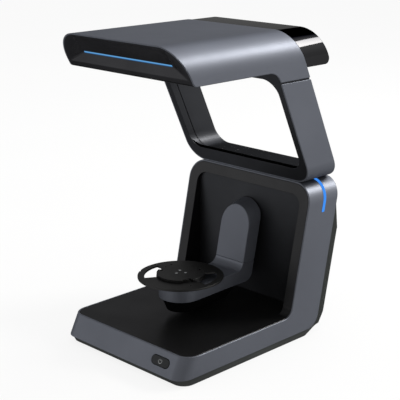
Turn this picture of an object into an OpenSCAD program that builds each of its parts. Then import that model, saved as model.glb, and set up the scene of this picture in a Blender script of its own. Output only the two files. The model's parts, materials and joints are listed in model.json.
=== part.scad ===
// Desktop 3D scanner: an L-shaped base and column, a leaning hoop that carries the
// camera head, and a swinging arm with a turntable. Millimetres, +Z up, front to -Y.
// The origin is the middle of the footprint, on the surface that the feet stand on.

/* [Overall] */
// Width of the base, the column, the hoop and the head
body_w = 260; // [240:1:280]
// Height from the table to the top of the head
total_h = 482.4; // [465:0.1:510]
// Wall of the moulded covers
wall = 2.5; // [2:0.1:3]

/* [Base] */
// Height of the front wall's lower edge above the table
band_z = 11.5; // [10:0.5:13]
// Height of the deck
deck_z = 43.5; // [41:0.5:48]
// Slope of the front wall from the vertical
front_slant = 27; // [22:1:32]
// Radius of the two front corners
front_corner_r = 22; // [16:1:28]
// Thickness of the deck and of the column's rim
skin = 3; // [2.5:0.1:4]
// Distance that the bottom cover's lower edge lies inside its upper one
bottom_taper = 1.5; // [1:0.5:6]
// Gap under the bottom cover, which the feet bridge
foot_gap = 0.8; // [0.5:0.1:2]

/* [Column] */
// Distance from the front edge to the column's face, at deck height
rim_setback = 238.2; // [230:0.2:250]
// Backward lean of the column
lean = 12; // [10:0.5:13]
// Height of the column
column_h = 246; // [242:1:252]
// Radius of the column's top corners
column_corner_r = 32; // [24:1:38]
// Depth of the column's grey sides
band_depth = 69; // [66:0.5:74]
// Width of the rim round the pocket
rim_w = 19.5; // [17:0.5:24]
// Radius of the fillet from the deck to the column
deck_fillet_r = 18; // [10:1:24]
// Radius of the pocket's top corners
pocket_corner_r = 18; // [10:1:26]
// Depth of the pocket at its top
pocket_top_depth = 3.9; // [3.5:0.1:6]
// Radius of the sides' rear lower corner
rear_corner_r = 25; // [18:1:32]
// How far the back cover stands behind the grey sides
back_bulge = 24; // [20:0.5:28]
// Height of the back cover's rearmost edge
back_peak_z = 162; // [154:1:172]
// Height where the back cover's slope ends
back_top_z = 206; // [198:1:214]
// Width of the light strips on the column's sides
strip_w = 4; // [3:0.5:6]
// Distance of the light strips behind the middle of the sides
strip_setback = 2.5; // [0:0.5:6]

/* [Hoop] */
// Forward lean of the hoop
hoop_lean = 25; // [22:0.5:27]
// Depth of the hoop, front to back
hoop_depth = 65.5; // [62:0.5:68]
// Radius of the hoop's lower corners
hoop_corner_r = 31; // [24:0.5:38]
// Width of the hoop's front frame on each side
bezel_w = 12.5; // [11.5:0.5:15]
// Depth of the front frame
bezel_depth = 14; // [12:0.5:18]
// Width of the groove behind the front frame
groove_w = 4; // [3:0.5:5]
// Height of the window's lower edge above the column
window_rise = 23.6; // [22:0.2:28]
// Radius of the window's lower corners
window_r = 20; // [14:1:24]
// Gap between the hoop's grey band and the head's shell
seam_gap = 2.4; // [1.5:0.1:3.5]

/* [Head] */
// Height of the head
head_h = 54; // [51:0.2:58]
// Radius of the head's upper corners
head_corner_r = 43; // [36:1:48]
// Backward slope of the head's front, from the vertical
head_slant = 29; // [24:0.5:31]
// Depth of the black module behind the shell, along its top
module_depth = 58.5; // [50:0.5:64]
// Backward slope of the module's rear, from the vertical
module_slant = 22; // [12:1:24]
// How far the module's sides and top lie inside the shell's
module_inset = 1; // [0.5:0.5:4]
// Depth of the recess in the head's front
recess_depth = 8.3; // [6:0.1:9]
// Half of the front light bar's length
bar_half = 91.5; // [80:0.5:98]
// Height of the front light bar
bar_h = 2.8; // [2:0.2:4]
// Height of the light bar above the head's lower edge
bar_rise = 20.6; // [18:0.2:26]
// Distance of each camera from the middle
camera_x = 82; // [70:1:88]

/* [Swing arm] */
// Height of the axis that the arm swings about
swing_z = 162; // [158:1:166]
// Width of the arm's upright
arm_w = 60; // [54:1:66]
// How far the upright stands in front of the column's rim
arm_proud = 15.6; // [13:0.2:18]
// Depth of the upright
arm_depth = 26.4; // [25:0.2:28]
// Rise of the upright's rounded head towards its back, as an angle
arm_rise = 16.5; // [0:0.5:26]
// Top of the arm's horizontal part
arm_top_z = 96.5; // [94:0.5:98]
// Height of the arm's horizontal part
arm_h = 21.5; // [20:0.5:23]
// Height of the seam round the upright
arm_seam_z = 108; // [106:0.5:112]
// Radius of the arm's round end
arm_end_r = 34; // [32:0.5:36]
// Depth of the black housing under the arm
housing_h = 20; // [18:0.5:22]
// Radius of the swing shaft
shaft_r = 6; // [5:0.5:7]

/* [Turntable] */
// Distance from the front edge to the turntable's axis
table_setback = 127.4; // [120:0.2:130]
// Radius of the turntable
table_r = 66.3; // [62:0.1:70]
// Height of the turntable's upper face
table_top_z = 108.6; // [107.6:0.2:110]
// Thickness of the turntable
table_t = 3; // [2.6:0.1:3.4]
// Radius of the raised disc
disc_r = 37; // [35:0.5:38]
// Height of the raised disc above the turntable
disc_h = 4.2; // [3:0.2:5]
// Inner radius of the finger slots
slot_r0 = 37.4; // [37.2:0.2:46]
// Outer radius of the finger slots
slot_r1 = 56; // [50:0.5:60]
// Half of each finger slot's angle
slot_half_angle = 31; // [24:1:34]
// Radius of the turntable's shaft
spindle_r = 4; // [3:0.5:5]

/* [Drive] */
// Module of the swing gears
gear_m = 1; // [1:0.05:1.05]
// Teeth of the large gear
gear_teeth = 54; // [51:1:56]
// Teeth of the motor's pinion
pinion_teeth = 18; // [17:1:20]
// Thickness of the gears
gear_t = 6; // [5:0.5:7]
// Side of the swing motor's square body
motor_w = 42; // [40:1:43]
// Radius of the turntable's motor
table_motor_r = 17.5; // [16:0.5:18]

/* [Power button] */
// Length of the button
button_w = 36; // [30:1:42]
// Height of the button
button_h = 13.7; // [11:0.1:16]
// Distance of the button's middle from the side of the base
button_inset = 49.5; // [46:0.5:70]

/* [Fits] */
// Radial clearance of a shaft in its bush
run_gap = 0.05; // [0.03:0.01:0.1]
// Clearance round a piece that moves in a cover
slide_gap = 0.35; // [0.3:0.05:0.5]

/* [Hidden] */

$fn = 64;
arc_step = 6;       // degrees of turn per facet of a rounded outline
far = 2 * total_h;  // reaches past the whole object
skim = 0.01;        // run of a cut past the face that it opens

grey = [0.36, 0.38, 0.43];
dark = [0.2, 0.2, 0.21];
black = [0.09, 0.09, 0.1];
glow = [0.26, 0.58, 0.97];
steel = [0.68, 0.69, 0.71];
board_green = [0.1, 0.3, 0.2];
brass = [0.72, 0.6, 0.34];

half_w = body_w / 2;
head_z = total_h - head_h;
body_d = rim_setback + band_depth + (back_peak_z - deck_z) * tan(lean) + back_bulge;
front_y = -body_d / 2;
table_y = front_y + table_setback;
pocket_half = half_w - rim_w;
pocket_top = column_h - rim_w;
pocket_wall = wall;
panel_y = rim_y(pocket_top) + pocket_top_depth;

// Planes of the side view: the Y where each one stands at height z
function rim_y(z) = front_y + rim_setback + (z - deck_z) * tan(lean);
function band_rear_y(z) = rim_y(z) + band_depth;
function back_y(z) = band_rear_y(z) + back_bulge;
function hoop_y(z) = rim_y(column_h) - (z - column_h) * tan(hoop_lean);
function hoop_rear_y(z) = hoop_y(z) + hoop_depth;
function head_front_y(z) = front_y + (total_h - z) * tan(head_slant);
function module_rear_y(z) = hoop_rear_y(total_h) + module_depth + (total_h - z) * tan(module_slant);
function arm_front_y(z) = rim_y(z) - arm_proud;
function arm_rear_y(z) = arm_front_y(z) + arm_depth;

// ---------------------------------------------------------------- outlines

function xy(p) = [p[0], p[1]];

// The points of one corner p, rounded to radius r, between its neighbours a and b
function corner(a, p, b, r) = r == undef || r <= 0 ? [p] :
    let (u = (a - p) / norm(a - p), v = (b - p) / norm(b - p), half = acos(u * v) / 2,
        centre = p + (u + v) / norm(u + v) * r / sin(half),
        from = p + u * r / tan(half) - centre, to = p + v * r / tan(half) - centre,
        turn = 180 - 2 * half, steps = max(2, ceil(turn / arc_step)))
    [for (i = [0:steps]) let (t = i / steps)
        centre + (sin((1 - t) * turn) * from + sin(t * turn) * to) / sin(turn)];

// A closed outline from [x, y, radius] corners
function outline(pts) = let (n = len(pts))
    [for (i = [0:n - 1])
        each corner(xy(pts[(i + n - 1) % n]), xy(pts[i]), xy(pts[(i + 1) % n]), pts[i][2])];

// A rectangle about the middle, with its own radius for the lower and upper corners
function box_outline(half, z0, z1, r0, r1) =
    outline([[-half, z0, r0], [half, z0, r0], [half, z1, r1], [-half, z1, r1]]);

// A side-view outline of [y, z] points, made w wide about the middle plane
module side_solid(pts, w) {
    translate([-w / 2, 0, 0]) rotate([90, 0, 90]) linear_extrude(w) polygon(pts);
}

// A front-view outline of [x, z] points, from y0 back to y1
module front_solid(pts, y0, y1) {
    translate([0, y1, 0]) rotate([90, 0, 0]) linear_extrude(y1 - y0) polygon(pts);
}

// A cylinder along Y, from y0 back to y1, about [x, z]
module y_cylinder(x, z, r, y0, y1) {
    translate([x, y0, z]) rotate([-90, 0, 0]) cylinder(r = r, h = y1 - y0);
}

// ---------------------------------------------------------------- base and column

// Everything behind the slanted front wall, which turns into the sides at two corners
module behind_front(inset) {
    half = half_w - inset;
    pts = outline([[-half, inset, front_corner_r - inset], [half, inset, front_corner_r - inset],
        [half, far], [-half, far]]);
    translate([0, front_y, band_z]) rotate([-front_slant, 0, 0])
        translate([0, 0, -far / 2]) linear_extrude(far) polygon(pts);
}

// The column's front view, with its rounded top corners
module column_front(inset) {
    r = column_corner_r - inset;
    front_solid(box_outline(half_w - inset, -band_z, column_h - inset, 0, r), front_y, -front_y);
}

module base_column_block() {
    front_top = front_y + (deck_z - band_z) * tan(front_slant);
    side_solid(outline([[front_y, band_z], [front_top, deck_z],
        [rim_y(deck_z), deck_z, deck_fillet_r], [rim_y(column_h), column_h],
        [band_rear_y(column_h), column_h, wall], [band_rear_y(band_z), band_z, rear_corner_r]]),
        body_w);
}

module inside_band() {
    intersection() {
        column_front(wall);
        behind_front(wall);
    }
}

// The strip's run round the column's top corner, as deep as depth
strip_depth = 1.2;
strip_z = column_h - 46.5;
strip_x = half_w - column_corner_r;
module light_strip(side) {
    lo = band_depth / 2 - strip_w / 2 + strip_setback;
    intersection() {
        difference() {
            column_front(0);
            column_front(strip_depth);
        }
        side_solid([for (p = [[lo, strip_z], [lo + strip_w, strip_z], [lo + strip_w, column_h],
            [lo, column_h]]) [rim_y(p[1]) + p[0], p[1]]], body_w);
        translate([side > 0 ? strip_x : -half_w, front_y, strip_z])
            cube([column_corner_r, body_d, column_h]);
    }
}

module side_band() {
    color(grey) difference() {
        intersection() {
            base_column_block();
            column_front(0);
            behind_front(0);
        }
        inside_band();
        light_strip(1);
        light_strip(-1);
        button_place() button_prism(slide_gap, -wall, 3 * wall);
    }
}

module column_light_left() color(glow) light_strip(-1);
module column_light_right() color(glow) light_strip(1);

// Front view of the pocket, grown by g
function pocket_outline(g) = box_outline(pocket_half + g, deck_z - skin * (g > 0 ? 1 : 0),
    pocket_top + g, 0, pocket_corner_r + g);

module deck_cover() {
    y1 = rim_y(column_h);
    back = skin / cos(lean);
    color(dark) intersection() {
        inside_band();
        difference() {
            union() {
                side_solid(outline([[front_y, deck_z], [rim_y(deck_z), deck_z, deck_fillet_r],
                    [rim_y(column_h), column_h], [rim_y(column_h) + back, column_h],
                    [rim_y(deck_z - skin) + back, deck_z - skin, deck_fillet_r + skin],
                    [front_y, deck_z - skin]]), body_w);
                intersection() {
                    front_solid(pocket_outline(pocket_wall), rim_y(deck_z) - skin, panel_y);
                    side_solid([[rim_y(deck_z - skin), deck_z - skin], [panel_y, deck_z - skin],
                        [panel_y, column_h], [rim_y(column_h), column_h]], body_w);
                }
                translate([-pocket_half - pocket_wall, rim_y(deck_z) - deck_fillet_r, deck_z - skin])
                    cube([2 * (pocket_half + pocket_wall), panel_y - rim_y(deck_z) + deck_fillet_r, skin]);
            }
            front_solid(pocket_outline(0), front_y, panel_y + skim);
        }
    }
}

hub_hole_r = shaft_r + 10;

module pocket_panel() {
    color(dark) difference() {
        intersection() {
            front_solid(pocket_outline(pocket_wall), panel_y, panel_y + skin);
            side_solid([[panel_y, 0], [panel_y + skin, 0], [panel_y + skin, pocket_top + pocket_wall],
                [panel_y, pocket_top + pocket_wall]], body_w);
        }
        y_cylinder(0, swing_z, hub_hole_r, panel_y - skim, panel_y + skin + skim);
    }
}

// ---------------------------------------------------------------- bottom and back covers

// The sides of the two dark covers slope in by taper over the back cover's depth
back_taper = 5.5;
module back_sides(inset) {
    half = half_w - wall - inset;
    translate([0, band_rear_y(0), 0]) rotate([-lean, 0, 0]) translate([0, 0, -far / 2])
        linear_extrude(far) polygon([[-half, -far], [half, -far], [half, 0],
            [half - back_taper, back_bulge * cos(lean)], [half - back_taper, far],
            [-half + back_taper, far], [-half + back_taper, back_bulge * cos(lean)], [-half, 0]]);
}

bottom_rear_y = back_y(band_z) - 13;
bottom_half = half_w - wall / 2;

module bottom_slab(z, inset, y0, y1, r) {
    translate([0, 0, z]) linear_extrude(skim) polygon(outline([
        [-bottom_half + inset, y0, r], [bottom_half - inset, y0, r],
        [bottom_half - inset, y1, r], [-bottom_half + inset, y1, r]]));
}

// The tray's outside, and its inside when it is inset
module bottom_shell(inset, floor_z) {
    r = front_corner_r - wall - inset;
    y0 = front_y + 4 + inset;
    y1 = bottom_rear_y - inset;
    hull() {
        bottom_slab(band_z - skim + (inset > 0 ? 2 * skim : 0), inset, y0, y1, r);
        bottom_slab(floor_z, inset + bottom_taper, y0 + bottom_taper + 4, y1 - 20, r - bottom_taper / 2);
    }
}

foot_r = 9;
foot_x = half_w - 42;
foot_h = 3;
foot_inset = 48;
foot_places = [for (x = [-foot_x, foot_x], y = [front_y + foot_inset, bottom_rear_y - foot_inset]) [x, y]];
screw_x = half_w - 24;
screw_inset = 68;
screw_places = [for (x = [-screw_x, screw_x],
    y = [front_y + screw_inset, bottom_rear_y - screw_inset]) [x, y]];
screw_r = 1.6;

module bottom_cover() {
    floor_top = foot_gap + wall;
    color(dark) difference() {
        intersection() {
            bottom_shell(0, foot_gap);
            back_sides(0);
        }
        bottom_shell(wall, floor_top);
        for (p = foot_places)
            translate([p[0], p[1], 0]) cylinder(r = foot_r, h = foot_h);
        for (p = screw_places)
            translate([p[0], p[1], 0]) cylinder(r = screw_r, h = far);
    }
}

module rubber_feet() {
    color(black) for (p = foot_places)
        translate([p[0], p[1], 0]) cylinder(r1 = foot_r - 1, r2 = foot_r, h = foot_h);
}

cover_lap = 24;       // how far the back cover's foot runs in under the column
cover_tuck = 4;       // and its sides run in behind the band
chamfer_run = 11.5;   // depth of its lower rear chamfer
chamfer_rise = 15;    // and height
chamfer_r = 4;
peak_r = 5;

// Side view of the back cover; the inset one is its inside
function back_profile(c) = outline([[band_rear_y(band_z) - cover_lap, band_z + c],
    [back_y(band_z) - chamfer_run - c, band_z + c, chamfer_r],
    [back_y(band_z + chamfer_rise) - c, band_z + chamfer_rise, rear_corner_r],
    [back_y(back_peak_z) - c, back_peak_z, peak_r],
    [band_rear_y(back_top_z) + cover_tuck - c, back_top_z - c],
    [band_rear_y(back_top_z) - c, back_top_z - c],
    [band_rear_y(column_h - wall) - c, column_h - wall - c],
    [band_rear_y(column_h - wall) - cover_tuck, column_h - wall - c],
    [band_rear_y(band_z + rear_corner_r) - cover_tuck, band_z + rear_corner_r, rear_corner_r]]);

port_half = 42;
port_z0 = 34;
port_z1 = 62;
port_recess = 9;
port_y = back_y(port_z0) - port_recess;
vent_count = 9;
vent_pitch = 8;
vent_half = 45;
vent_z = 92;

module back_cover() {
    inner = [[rim_y(0), band_z + wall], [back_y(band_z) - chamfer_run - wall, band_z + wall],
        [back_y(band_z + chamfer_rise) - wall, band_z + chamfer_rise],
        [back_y(back_peak_z) - wall, back_peak_z],
        [band_rear_y(back_top_z) + cover_tuck - wall, back_top_z - wall],
        [band_rear_y(back_top_z) - wall, back_top_z - wall],
        [band_rear_y(column_h - 2 * wall) - wall, column_h - 2 * wall],
        [rim_y(column_h), column_h - 2 * wall]];
    color(dark) difference() {
        intersection() {
            side_solid(back_profile(0), body_w);
            back_sides(0);
            column_front(wall);
        }
        intersection() {
            side_solid(inner, body_w);
            back_sides(wall);
            column_front(2 * wall);
        }
        port_box(0, band_rear_y(port_z0));
        for (i = [0:vent_count - 1])
            translate([-vent_half, band_rear_y(vent_z), vent_z + i * vent_pitch])
                cube([2 * vent_half, far, wall]);
    }
}

module port_box(inset, y0) {
    translate([-port_half + inset, y0, port_z0 + inset])
        cube([2 * (port_half - inset), far, port_z1 - port_z0 - 2 * inset]);
}

dc_x = -26;
usb_x = 22;
usb_w = 13;
usb_h = 12;
usb_d = 14;           // depth behind the panel
usb_mouth_d = 8;
usb_t = 1;
dc_body_w = 14;
dc_body_d = 12;
dc_neck_r = 4.7;
dc_hole_r = 3.2;      // the plug's way in
dc_throat_r = 2.95;   // the contact round the plug
dc_hole_d = 4;
dc_throat_d = 5.5;
dc_pin_r = 1.05;
dc_pin_recess = 5;
port_mid_z = (port_z0 + port_z1) / 2;

module port_panel() {
    color(black) difference() {
        intersection() {
            port_box(0, port_y);
            side_solid([[port_y, 0], [back_y(0), 0], [back_y(back_peak_z), back_peak_z],
                [port_y, back_peak_z]], body_w);
        }
        port_box(wall, port_y + wall);
        y_cylinder(dc_x, port_mid_z, dc_neck_r, port_y - skim, port_y + wall + skim);
        translate([usb_x - usb_w / 2, port_y - skim, port_mid_z - usb_h / 2])
            cube([usb_w, wall + 2 * skim, usb_h]);
    }
}

module dc_inlet() {
    face_y = port_y + wall;
    throat_y = face_y - dc_hole_d;
    end_y = throat_y - dc_throat_d;
    color(black) {
        difference() {
            union() {
                translate([dc_x - dc_body_w / 2, port_y - dc_body_d, port_mid_z - dc_body_w / 2])
                    cube([dc_body_w, dc_body_d, dc_body_w]);
                y_cylinder(dc_x, port_mid_z, dc_neck_r, port_y - skim, face_y);
            }
            y_cylinder(dc_x, port_mid_z, dc_hole_r, throat_y, face_y + skim);
            y_cylinder(dc_x, port_mid_z, dc_throat_r, end_y, throat_y + skim);
        }
        y_cylinder(dc_x, port_mid_z, dc_pin_r, end_y - skim, face_y - dc_pin_recess);
    }
}

module usb_port() {
    color(steel) difference() {
        translate([usb_x - usb_w / 2, port_y - usb_d, port_mid_z - usb_h / 2])
            cube([usb_w, usb_d + wall, usb_h]);
        translate([usb_x - usb_w / 2 + usb_t, port_y - usb_mouth_d, port_mid_z - usb_h / 2 + usb_t])
            cube([usb_w - 2 * usb_t, usb_d + wall, usb_h - 2 * usb_t]);
    }
}

// ---------------------------------------------------------------- inside the base and column

plate_z = foot_gap + wall;
plate_t = 3;
plate_inset = 18;
plate_half = half_w - plate_inset;
plate_y0 = front_y + 34;
plate_y1 = bottom_rear_y - 2 * plate_inset;
frame_gap = 4;        // between the pocket's walls and the column's frame
upright_x = pocket_half + pocket_wall + frame_gap;
upright_t = 2;
board_t = 1.6;
board_w = 160;
board_d = 110;
board_y = front_y + 80;
board_hole = 5;       // from a board's edges to its fixing holes
standoff_h = 6;
standoff_r = 3;
board_corners = [for (x = [-1, 1], y = [0, 1])
    [x * (board_w / 2 - board_hole), board_y + board_hole + y * (board_d - 2 * board_hole)]];
chips = [[-20, 30, 16], [25, 55, 12], [-55, 70, 10], [50, 25, 9]];   // x, y and width
chip_h = 2;
plug_size = [16, 7, 8];
plug_pitch = 30;
plug_x = -60;
plug_inset = 12;

module base_plate() {
    color(steel) difference() {
        translate([-plate_half, plate_y0, plate_z])
            cube([2 * plate_half, plate_y1 - plate_y0, plate_t]);
        for (p = screw_places)
            translate([p[0], p[1], 0]) cylinder(r = screw_r, h = far);
    }
}

module board_standoffs() {
    color(brass) for (p = board_corners)
        translate([p[0], p[1], plate_z + plate_t]) cylinder(r = standoff_r, h = standoff_h, $fn = 6);
}

module main_board() {
    z = plate_z + plate_t + standoff_h;
    color(board_green) {
        translate([-board_w / 2, board_y, z]) cube([board_w, board_d, board_t]);
        for (chip = chips)
            translate([chip[0] - chip[2] / 2, board_y + chip[1], z + board_t - skim])
                cube([chip[2], chip[2], chip_h]);
        for (i = [0:3])
            translate([plug_x + plug_pitch * i, board_y + board_d - plug_inset, z + board_t - skim])
                cube(plug_size);
    }
}

frame_clear = 8;
frame_top = column_h - wall;
frame_top_t = 3;

module column_frame() {
    z0 = plate_z + plate_t;
    side = [[rim_y(z0) + frame_clear, z0], [plate_y1 - frame_clear, z0],
        [plate_y1 - frame_clear, z0 + frame_clear], [band_rear_y(deck_z) - frame_clear, deck_z],
        [band_rear_y(frame_top) - frame_clear, frame_top],
        [rim_y(frame_top) + frame_clear, frame_top]];
    top_z = frame_top - frame_top_t;
    top = [[rim_y(top_z) + frame_clear, top_z],
        [band_rear_y(top_z) - frame_clear, top_z],
        [band_rear_y(frame_top) - frame_clear, frame_top],
        [rim_y(frame_top) + frame_clear, frame_top]];
    color(steel) intersection() {
        difference() {
            union() {
                side_solid(side, 2 * upright_x);
                side_solid(top, 2 * upright_x);
            }
            side_solid([[front_y, z0 - skim], [far, z0 - skim], [far, top_z],
                [front_y, top_z]], 2 * (upright_x - upright_t));
        }
        column_front(wall);
    }
}

switch_board_y = wall + 7;
switch_body_h = 3.5;
switch_half = button_h / 2 + 3.5;
switch_board_w = 26;
switch_w = 6;
switch_rib_t = 2;     // ribs that carry the switch's board

module button_switch() {
    color(board_green) button_place() {
        translate([-switch_board_w / 2, switch_board_y, -switch_half])
            cube([switch_board_w, board_t, 2 * switch_half]);
        translate([-switch_w / 2, switch_board_y - switch_body_h, -switch_w / 2])
            cube([switch_w, switch_body_h + skim, switch_w]);
        for (z = [-switch_half, switch_half - switch_rib_t])
            translate([-switch_board_w / 2, wall, z])
                cube([switch_board_w, switch_board_y - wall + skim, switch_rib_t]);
    }
}

// ---------------------------------------------------------------- swing drive

drive_gap = 2;                     // free space in front of and behind the gears
gear_y = panel_y + skin + drive_gap;
bracket_y = gear_y + gear_t + drive_gap;
bracket_t = 4;
bush_r = shaft_r + 3;
bush_len = 8;
housing_r = bush_r + 3;
housing_len = 2 * bush_len + 6;
gear_centre = gear_m * (gear_teeth + pinion_teeth) / 2;
pinion_z = swing_z - gear_centre;
bracket_half = 44;
bracket_z0 = pinion_z - 26;
bracket_z1 = swing_z + 34;
bracket_corner_r = 8;
leg_r = 5;
leg_inset = 9;
motor_len = 30;
motor_shaft_r = 2.5;
motor_bore_d = 15;
motor_corner_r = 4;

module swing_bracket() {
    color(steel) difference() {
        union() {
            front_solid(box_outline(bracket_half, bracket_z0, bracket_z1, bracket_corner_r,
                bracket_corner_r), bracket_y, bracket_y + bracket_t);
            y_cylinder(0, swing_z, housing_r, bracket_y, bracket_y + housing_len);
            for (x = [-1, 1], z = [bracket_z0 + leg_inset, bracket_z1 - leg_inset])
                y_cylinder(x * (bracket_half - leg_inset), z, leg_r, panel_y + skin, bracket_y + skim);
        }
        y_cylinder(0, swing_z, bush_r, bracket_y - skim, bracket_y + bush_len);
        y_cylinder(0, swing_z, bush_r, bracket_y + housing_len - bush_len,
            bracket_y + housing_len + skim);
        y_cylinder(0, swing_z, shaft_r + 1, bracket_y, bracket_y + housing_len);
        y_cylinder(0, pinion_z, gear_m * pinion_teeth / 2 + 3, bracket_y - skim,
            bracket_y + bracket_t + skim);
    }
}

module swing_bushes() {
    color(brass) for (y = [bracket_y, bracket_y + housing_len - bush_len])
        difference() {
            y_cylinder(0, swing_z, bush_r, y, y + bush_len);
            y_cylinder(0, swing_z, shaft_r + run_gap, y - skim, y + bush_len + skim);
        }
}

module swing_motor() {
    half = motor_w / 2;
    z0 = pinion_z - half;
    top = min(pinion_z + half, swing_z - housing_r - 0.5);
    color(black) difference() {
        front_solid(outline([for (p = [[-half, z0], [half, z0], [half, top], [-half, top]])
            [p[0], p[1], motor_corner_r]]), bracket_y + bracket_t, bracket_y + bracket_t + motor_len);
        y_cylinder(0, pinion_z, motor_shaft_r + run_gap, bracket_y,
            bracket_y + bracket_t + motor_bore_d);
    }
}

// One flank of an involute tooth: the point where the string leaves at angle t
function involute(rb, t) = [rb * (cos(t) + t * PI / 180 * sin(t)), rb * (sin(t) - t * PI / 180 * cos(t))];
function turned(p, a) = [p[0] * cos(a) - p[1] * sin(a), p[0] * sin(a) + p[1] * cos(a)];

gear_pressure = 20;
backlash = 0.3;

// The outline of a spur gear with n teeth of module m, one tooth pointing along +x
function gear_outline(n, m) =
    let (rp = m * n / 2, rb = rp * cos(gear_pressure), ra = rp + m * 0.9, rf = rp - m * 1.25,
        t_max = sqrt(pow(ra / rb, 2) - 1) * 180 / PI,
        t0 = rf > rb ? sqrt(pow(rf / rb, 2) - 1) * 180 / PI : 0,
        half = 90 / n - backlash / (2 * rp) * 180 / PI + (tan(gear_pressure) * 180 / PI - gear_pressure),
        flank = [for (i = [0:4]) let (t = t0 + (t_max - t0) * i / 4) turned(involute(rb, t), -half)])
    [for (k = [0:n - 1]) each [
        turned([rf, 0], k * 360 / n - 180 / n),
        turned([rf, 0], k * 360 / n - half),
        for (p = flank) turned(p, k * 360 / n),
        for (i = [4:-1:0]) turned([flank[i][0], -flank[i][1]], k * 360 / n),
        turned([rf, 0], k * 360 / n + half)]];

module spur_gear(n, m, bore_r) {
    rotate([-90, 0, 0]) difference() {
        linear_extrude(gear_t) rotate(90) polygon(gear_outline(n, m));
        translate([0, 0, -skim]) cylinder(r = bore_r, h = gear_t + 2 * skim);
    }
}

module swing_gear() {
    color(brass) translate([0, gear_y, swing_z]) difference() {
        spur_gear(gear_teeth, gear_m, shaft_r);
        for (a = [45:90:315])
            rotate([0, a, 0]) translate([gear_m * gear_teeth / 4 + 2, -skim, 0])
                rotate([-90, 0, 0]) cylinder(r = 5, h = gear_t + 2 * skim);
    }
}

module drive_pinion() {
    color(steel) translate([0, gear_y, pinion_z]) {
        rotate([0, 180 / pinion_teeth * ((gear_teeth + pinion_teeth + 1) % 2), 0])
            spur_gear(pinion_teeth, gear_m, motor_shaft_r - skim);
        rotate([-90, 0, 0]) cylinder(r = motor_shaft_r, h = bracket_y + bracket_t + 14 - gear_y);
    }
}

hub_r = hub_hole_r - 3;
arm_back_y = panel_y - 1.8;
shaft_front_y = arm_back_y - 12;

module swing_shaft() {
    color(steel) {
        y_cylinder(0, swing_z, shaft_r, shaft_front_y, bracket_y + housing_len + 4);
        y_cylinder(0, swing_z, hub_r, arm_back_y, gear_y - 0.5);
    }
}

// ---------------------------------------------------------------- hoop

function hoop_outline(inset) = box_outline(half_w - inset, column_h + inset, total_h - inset,
    hoop_corner_r - inset, head_corner_r - inset);

window_half = half_w - bezel_w;
window_z0 = column_h + window_rise;
window_z1 = head_z - 14.2;
window_top_r = 24;
function window_outline(g) = box_outline(window_half + g, window_z0 - g, window_z1 + g,
    window_r + g, window_top_r + g);

liner_step = 3.5;              // how far the rear liner lies outside the front frame's window
seam_z = head_z - 16.8;

// A slice of the leaning hoop between two depths behind its front, from z0 to z1
module hoop_slice(d0, d1, z0, z1) {
    side_solid([[hoop_y(z0) + d0, z0], [hoop_y(z0) + d1, z0], [hoop_y(z1) + d1, z1],
        [hoop_y(z1) + d0, z1]], body_w);
}

module frame_between(outer, inner) {
    difference() {
        front_solid(outer, front_y, -front_y);
        front_solid(inner, front_y - skim, -front_y + skim);
    }
}

module hoop_band() {
    color(grey) intersection() {
        frame_between(hoop_outline(0), hoop_outline(wall));
        hoop_slice(0, hoop_depth, column_h, seam_z - seam_gap / 2);
    }
}

module hoop_bezel() {
    color(dark) intersection() {
        frame_between(hoop_outline(wall), window_outline(0));
        hoop_slice(0, bezel_depth, column_h, head_z);
    }
}

module hoop_core() {
    color(black) intersection() {
        frame_between(hoop_outline(wall), window_outline(liner_step + wall));
        hoop_slice(bezel_depth, hoop_depth - wall, column_h, head_z);
    }
}

module hoop_liner() {
    color(dark) {
        intersection() {
            frame_between(window_outline(liner_step + wall), window_outline(liner_step));
            hoop_slice(bezel_depth + groove_w, hoop_depth, column_h, head_z);
        }
        intersection() {
            frame_between(hoop_outline(wall), window_outline(liner_step + wall));
            hoop_slice(hoop_depth - wall, hoop_depth, column_h, head_z);
        }
    }
}

// ---------------------------------------------------------------- head

side_corner_r = 8;        // corner of the shell's side, low at the front
under_fillet_r = 25;      // fillet from the head's lower edge to the hoop's front

module head_shell() {
    z0 = seam_z + seam_gap / 2;
    color(grey) intersection() {
        frame_between(hoop_outline(0), hoop_outline(wall));
        side_solid(outline([[head_front_y(total_h), total_h], [hoop_rear_y(total_h), total_h],
            [hoop_rear_y(z0), z0], [hoop_y(z0), z0],
            [hoop_y(head_z), head_z, under_fillet_r], [head_front_y(head_z), head_z, side_corner_r]]),
            body_w);
    }
}

panel_t = 17;         // depth of the front panel along Y
lip = 26;             // depth of its foot
bar_z = head_z + bar_rise;
bar_seat = 3;         // how deep the light bar sits in its slot
bar_proud = 0.4;      // how far it stands out of the slot

module head_front_panel() {
    color(black) difference() {
        intersection() {
            front_solid(hoop_outline(wall), front_y, -front_y);
            side_solid(outline([[front_y, total_h], [front_y + panel_t, total_h],
                [head_front_y(head_z) + panel_t, head_z + wall],
                [head_front_y(head_z) + lip, head_z + wall],
                [head_front_y(head_z) + lip, head_z],
                [head_front_y(head_z), head_z, side_corner_r]]), body_w);
        }
        head_recess();
        bar_prism(0, recess_depth + bar_seat);
    }
}

recess_side = 4.9;    // width of the front face's edge round the recess
recess_foot = 9;      // and below it

// The front recess: four facets that fall to the line of the light bar
module head_recess() {
    up = 1 / cos(head_slant);
    face = box_outline(half_w - recess_side, head_z + recess_foot, total_h - recess_side, wall,
        head_corner_r - recess_side);
    translate([0, head_front_y(0), 0]) rotate([head_slant, 0, 0]) hull() {
        rotate([90, 0, 0]) linear_extrude(skin) polygon([for (p = face) [p[0], p[1] * up]]);
        translate([-bar_half, 0, bar_z * up - bar_h / 2])
            cube([2 * bar_half, recess_depth, bar_h]);
    }
}

// The light bar's section, from y0 behind the sloping front face
module bar_prism(y0, depth) {
    translate([0, head_front_y(bar_z), bar_z]) rotate([head_slant, 0, 0])
        translate([-bar_half, y0, -bar_h / 2]) cube([2 * bar_half, depth, bar_h]);
}

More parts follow.
